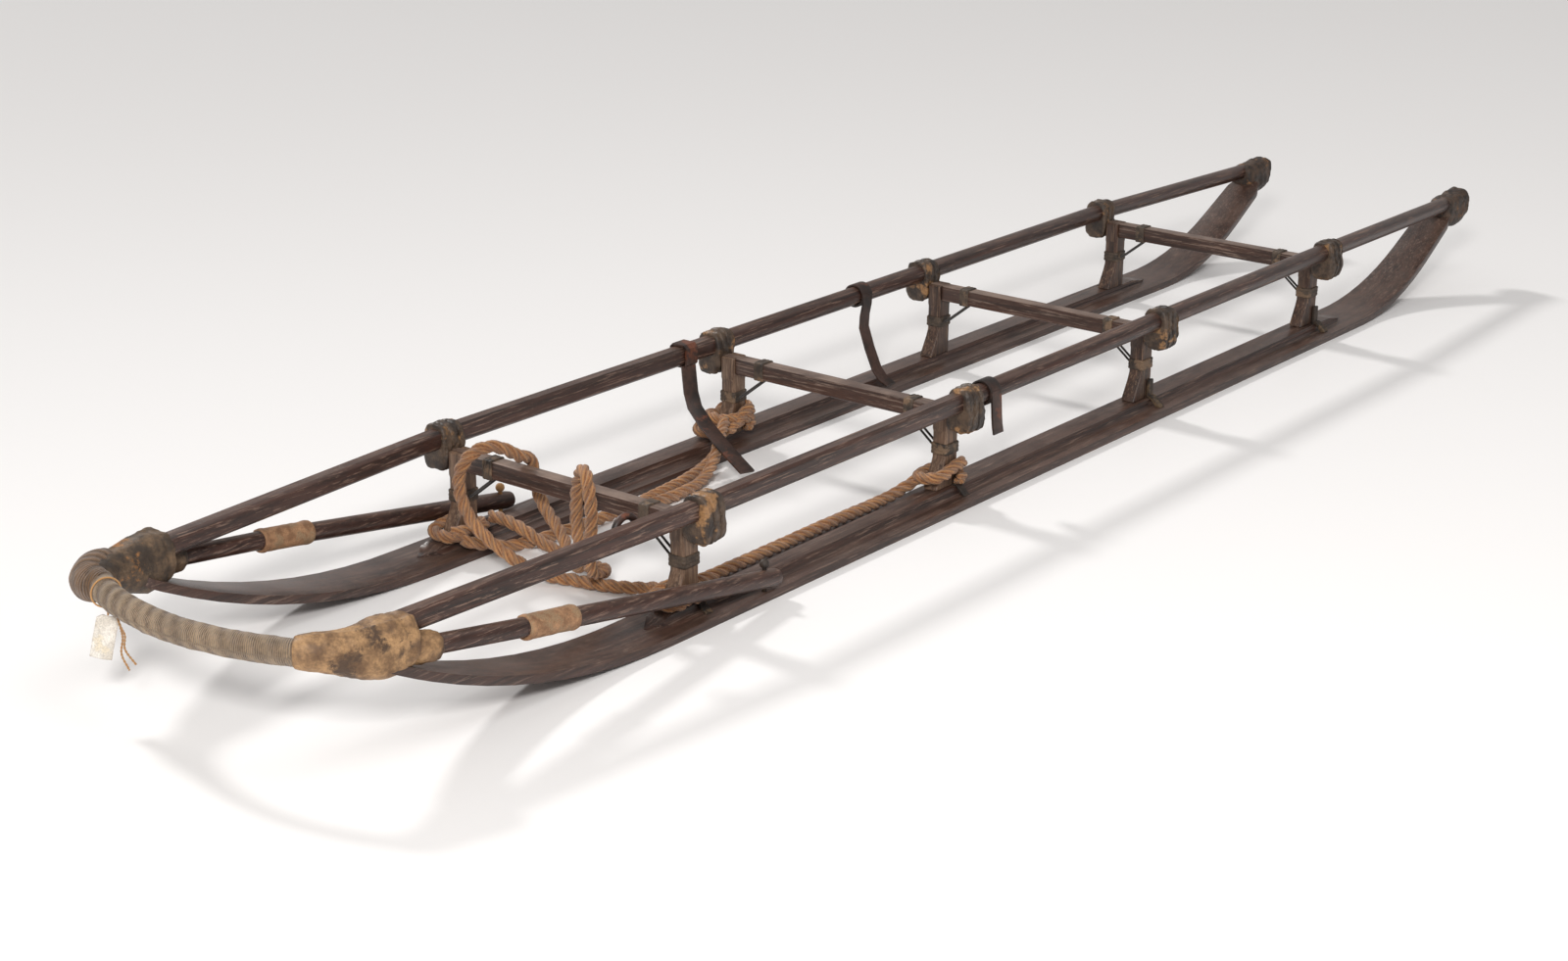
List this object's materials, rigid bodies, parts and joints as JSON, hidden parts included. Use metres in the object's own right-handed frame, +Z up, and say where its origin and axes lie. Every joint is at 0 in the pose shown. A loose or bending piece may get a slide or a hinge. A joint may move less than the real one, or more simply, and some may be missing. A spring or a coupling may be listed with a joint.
{
  "type": "hauling sledge",
  "caption": "Long open hauling sledge on two ski runners, with lashed stanchions and crossbars, two rails, a bent bow hoop, raking struts and a rope.",
  "frame": {"origin": "on the ground, under the middle of the sledge's length and width", "axes": "+X forward to the bow hoop, +Y to the sledge's left, +Z up"},
  "size_m": [2.742, 0.4651, 0.1741],
  "materials": {
    "band_hide": "thin rawhide",
    "cane": "bare grey cane",
    "cover_hide": "stiff mottled rawhide",
    "lashing_hide": "stiff crumpled rawhide",
    "post_wood": "worn reddish-brown varnish",
    "rail_wood": "worn dark varnish, scuffed on top",
    "rope_hemp": "three-strand hemp",
    "runner_wood": "worn dark varnish, greyed",
    "seizing_cord": "close turns of weathered cord",
    "stay_wire": "tarred cord",
    "strap_leather": "old harness leather",
    "tag_paper": "plain card",
    "thong_cord": "waxed twine",
    "thong_hide": "dark dried hide"
  },
  "bodies": {
    "frame": {"runner_left": "runner_wood", "runner_right": "runner_wood", "rail_left": "rail_wood", "rail_right": "rail_wood", "bow_hoop": "cane", "bow_seizing": "seizing_cord", "bow_cover_left": "cover_hide", "bow_cover_right": "cover_hide", "strut_left": "rail_wood", "strut_right": "rail_wood", "strut_sleeve_left": "band_hide", "strut_sleeve_right": "band_hide", "strut_collar_left": "thong_hide", "strut_collar_right": "thong_hide", "strut_thong_left": "thong_cord", "strut_thong_right": "thong_cord", "stanchion_1_left": "post_wood", "stanchion_2_left": "post_wood", "stanchion_3_left": "post_wood", "stanchion_4_left": "post_wood", "stanchion_1_right": "post_wood", "stanchion_2_right": "post_wood", "stanchion_3_right": "post_wood", "stanchion_4_right": "post_wood", "crossbar_1": "post_wood", "crossbar_2": "post_wood", "crossbar_3": "post_wood", "crossbar_4": "post_wood", "rail_lashing_1_left": "lashing_hide", "rail_lashing_2_left": "lashing_hide", "rail_lashing_3_left": "lashing_hide", "rail_lashing_4_left": "lashing_hide", "rail_lashing_1_right": "lashing_hide", "rail_lashing_2_right": "lashing_hide", "rail_lashing_3_right": "lashing_hide", "rail_lashing_4_right": "lashing_hide", "rear_lashing_left": "lashing_hide", "rear_lashing_right": "lashing_hide", "stanchion_bands": "band_hide", "crossbar_bands": "band_hide", "stay_wires": "stay_wire", "foot_thongs": "thong_hide", "rope_turn_1_left": "rope_hemp", "rope_turn_2_left": "rope_hemp", "rope_turn_1_right": "rope_hemp", "rope_turn_2_right": "rope_hemp", "rope_near": "rope_hemp", "rope_loop": "rope_hemp", "rope_far": "rope_hemp", "rope_tail": "rope_hemp", "leather_ring": "strap_leather"},
    "front_strap_right": {"strap_right_front": "strap_leather"},
    "rear_strap_right": {"strap_right_rear": "strap_leather"},
    "rear_strap_left": {"strap_left_rear": "strap_leather"},
    "tag": {"tag_card": "tag_paper", "tag_twine": "thong_cord"}
  },
  "joints": [
    {"name": "front_strap_right_slide", "type": "slide", "parent": "frame", "child": "front_strap_right", "axis": [1, 0, 0], "range_m": [-0.006, 0.2]},
    {"name": "rear_strap_right_slide", "type": "slide", "parent": "frame", "child": "rear_strap_right", "axis": [1, 0, 0], "range_m": [-0.1, 0.24]},
    {"name": "rear_strap_left_slide", "type": "slide", "parent": "frame", "child": "rear_strap_left", "axis": [1, 0, 0], "range_m": [-0.38, 0.01]},
    {"name": "tag_swing", "type": "hinge", "parent": "frame", "child": "tag", "pos_m": [1.33376, -0.12339, 0.13946], "axis": [0.3486, 0.9373, -0.0038], "range_deg": [-30, 30]}
  ]
}
